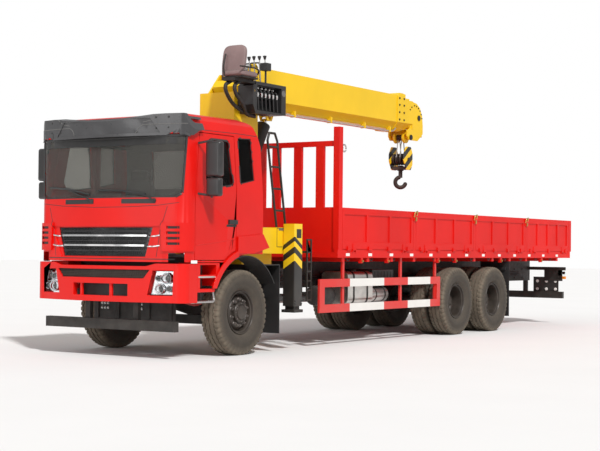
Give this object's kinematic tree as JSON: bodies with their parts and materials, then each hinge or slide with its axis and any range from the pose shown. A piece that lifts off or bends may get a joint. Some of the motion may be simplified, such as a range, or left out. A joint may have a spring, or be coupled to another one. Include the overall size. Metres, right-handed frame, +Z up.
{
  "type": "truck-mounted mobile crane",
  "caption": "Three-axle cargo truck with a telescopic boom crane and outriggers behind its cab, hinged doors, drop sides and tailgate, steered front wheels and a swivelling hook.",
  "frame": {"origin": "on the ground under the middle of the truck's length, on its centre line", "axes": "+X forward to the cab, +Y to the truck's left side, +Z up"},
  "size_m": [12, 3, 4.07],
  "materials": {
    "tyre": "matte",
    "rim_steel": "satin",
    "chassis_black": "satin",
    "steel_black": "satin",
    "engine_grey": "rough",
    "red_paint": "gloss",
    "yellow_paint": "gloss",
    "visor_plastic": "matte",
    "black_plastic": "matte",
    "grey_plastic": "matte",
    "rubber": "matte",
    "aluminium": "brushed",
    "seat_fabric": "woven",
    "seat_vinyl": "smooth",
    "glass": "clear",
    "lamp_lens": "gloss",
    "chrome_rod": "polished",
    "forged_steel": "rough"
  },
  "bodies": {
    "chassis": {"frame": "chassis_black", "axles": "chassis_black", "springs": "chassis_black", "drivetrain": "engine_grey", "cab_shell": "red_paint", "cab_glass": "glass", "cab_seats": "seat_fabric", "cab_dashboard": "grey_plastic", "sun_visor": "visor_plastic", "grille": "black_plastic", "front_bumper": "red_paint", "lamps": "lamp_lens", "underrun_bars": "chassis_black", "cab_steps": "red_paint", "front_fenders": "red_paint", "mudguards": "rubber", "tanks": "aluminium", "side_guards": "red_paint", "crane_base": "yellow_paint", "ladders": "steel_black", "bed_deck": "red_paint", "headboard": "red_paint"},
    "wheel_front_left": {"tyre_front_left": "tyre", "rim_front_left": "rim_steel"},
    "knuckle_left": {"knuckle_left": "chassis_black"},
    "wheels_rear_1_left": {"tyres_rear_1_left": "tyre", "rims_rear_1_left": "rim_steel"},
    "wheels_rear_2_left": {"tyres_rear_2_left": "tyre", "rims_rear_2_left": "rim_steel"},
    "door_left": {"door_left": "red_paint", "door_glass_left": "glass", "mirror_left": "visor_plastic"},
    "outrigger_left": {"outrigger_left": "steel_black"},
    "jack_left": {"jack_left": "steel_black"},
    "sides_left": {"sides_left": "red_paint"},
    "wheel_front_right": {"tyre_front_right": "tyre", "rim_front_right": "rim_steel"},
    "knuckle_right": {"knuckle_right": "chassis_black"},
    "wheels_rear_1_right": {"tyres_rear_1_right": "tyre", "rims_rear_1_right": "rim_steel"},
    "wheels_rear_2_right": {"tyres_rear_2_right": "tyre", "rims_rear_2_right": "rim_steel"},
    "door_right": {"door_right": "red_paint", "door_glass_right": "glass", "mirror_right": "visor_plastic"},
    "outrigger_right": {"outrigger_right": "steel_black"},
    "jack_right": {"jack_right": "steel_black"},
    "sides_right": {"sides_right": "red_paint"},
    "tailgate": {"tailgate": "red_paint"},
    "turret": {"turret": "yellow_paint", "operator_console": "steel_black", "operator_seat": "seat_vinyl"},
    "boom_base": {"boom_base": "yellow_paint", "winch": "yellow_paint"},
    "boom_mid": {"boom_mid": "yellow_paint"},
    "boom_tip": {"boom_tip": "yellow_paint"},
    "hook_block": {"hook_block": "yellow_paint"},
    "hook": {"hook": "forged_steel"},
    "luff_barrel": {"luff_barrel": "steel_black"},
    "luff_rod": {"luff_rod": "chrome_rod"}
  },
  "joints": [
    {"name": "steer_left", "type": "hinge", "parent": "chassis", "child": "knuckle_left", "pos_m": [4.55, 0.85, 0.5425], "axis": [0, 0, 1], "range_deg": [-35, 35]},
    {"name": "wheel_front_left_spin", "type": "hinge", "parent": "knuckle_left", "child": "wheel_front_left", "pos_m": [4.55, 1.0025, 0.5425], "axis": [0, 1, 0], "continuous": true},
    {"name": "wheels_rear_1_left_spin", "type": "hinge", "parent": "chassis", "child": "wheels_rear_1_left", "pos_m": [-1.25, 0.9325, 0.5425], "axis": [0, 1, 0], "continuous": true},
    {"name": "wheels_rear_2_left_spin", "type": "hinge", "parent": "chassis", "child": "wheels_rear_2_left", "pos_m": [-2.6, 0.9325, 0.5425], "axis": [0, 1, 0], "continuous": true},
    {"name": "door_left_hinge", "type": "hinge", "parent": "chassis", "child": "door_left", "pos_m": [5.609, 1.188, 1.24], "axis": [0, 0, -1], "range_deg": [0, 70]},
    {"name": "outrigger_left_out", "type": "slide", "parent": "chassis", "child": "outrigger_left", "axis": [0, 1, 0], "range_m": [0, 1.4]},
    {"name": "jack_left_down", "type": "slide", "parent": "outrigger_left", "child": "jack_left", "axis": [0, 0, -1], "range_m": [0, 0.495]},
    {"name": "sides_left_drop", "type": "hinge", "parent": "chassis", "child": "sides_left", "pos_m": [0, 1.234, 1.352], "axis": [-1, 0, 0], "range_deg": [0, 160]},
    {"name": "steer_right", "type": "hinge", "parent": "chassis", "child": "knuckle_right", "pos_m": [4.55, -0.85, 0.5425], "axis": [0, 0, 1], "range_deg": [-35, 35]},
    {"name": "wheel_front_right_spin", "type": "hinge", "parent": "knuckle_right", "child": "wheel_front_right", "pos_m": [4.55, -1.0025, 0.5425], "axis": [0, 1, 0], "continuous": true},
    {"name": "wheels_rear_1_right_spin", "type": "hinge", "parent": "chassis", "child": "wheels_rear_1_right", "pos_m": [-1.25, -0.9325, 0.5425], "axis": [0, 1, 0], "continuous": true},
    {"name": "wheels_rear_2_right_spin", "type": "hinge", "parent": "chassis", "child": "wheels_rear_2_right", "pos_m": [-2.6, -0.9325, 0.5425], "axis": [0, 1, 0], "continuous": true},
    {"name": "door_right_hinge", "type": "hinge", "parent": "chassis", "child": "door_right", "pos_m": [5.609, -1.188, 1.24], "axis": [0, 0, 1], "range_deg": [0, 70]},
    {"name": "outrigger_right_out", "type": "slide", "parent": "chassis", "child": "outrigger_right", "axis": [0, -1, 0], "range_m": [0, 1.4]},
    {"name": "jack_right_down", "type": "slide", "parent": "outrigger_right", "child": "jack_right", "axis": [0, 0, -1], "range_m": [0, 0.495]},
    {"name": "sides_right_drop", "type": "hinge", "parent": "chassis", "child": "sides_right", "pos_m": [0, -1.234, 1.352], "axis": [1, 0, 0], "range_deg": [0, 160]},
    {"name": "tailgate_drop", "type": "hinge", "parent": "chassis", "child": "tailgate", "pos_m": [-5.988, 0, 1.352], "axis": [0, -1, 0], "range_deg": [0, 160]},
    {"name": "slew", "type": "hinge", "parent": "chassis", "child": "turret", "pos_m": [3.35, 0, 1.69], "axis": [0, 0, 1], "continuous": true},
    {"name": "luff", "type": "hinge", "parent": "turret", "child": "boom_base", "pos_m": [3.28, 0, 3.6], "axis": [0, 1, 0], "range_deg": [0, 75]},
    {"name": "telescope_mid", "type": "slide", "parent": "boom_base", "child": "boom_mid", "axis": [-1, 0, 0], "range_m": [0, 3.3]},
    {"name": "telescope_tip", "type": "slide", "parent": "boom_mid", "child": "boom_tip", "axis": [-1, 0, 0], "range_m": [0, 3.3]},
    {"name": "hook_swing", "type": "hinge", "parent": "boom_tip", "child": "hook_block", "pos_m": [-1.52, 0, 3.245], "axis": [0, 1, 0], "range_deg": [-75, 30]},
    {"name": "hook_swivel", "type": "hinge", "parent": "hook_block", "child": "hook", "pos_m": [-1.52, 0, 2.7], "axis": [0, 0, 1], "continuous": true},
    {"name": "luff_barrel_tilt", "type": "hinge", "parent": "turret", "child": "luff_barrel", "pos_m": [3.2, 0, 1.95], "axis": [0, 1, 0], "range_deg": [0, 18.68]},
    {"name": "luff_rod_out", "type": "slide", "parent": "luff_barrel", "child": "luff_rod", "axis": [-0.5012, 0, 0.8654], "range_m": [0, 0.912]}
  ],
  "couplings": [
    {"joint": "steer_right", "follows": "steer_left", "ratio": 1},
    {"joint": "telescope_tip", "follows": "telescope_mid", "ratio": 1},
    {"joint": "luff_barrel_tilt", "follows": "luff", "ratio": 0.2484},
    {"joint": "luff_rod_out", "follows": "luff", "m_per_rad": 0.6961}
  ]
}
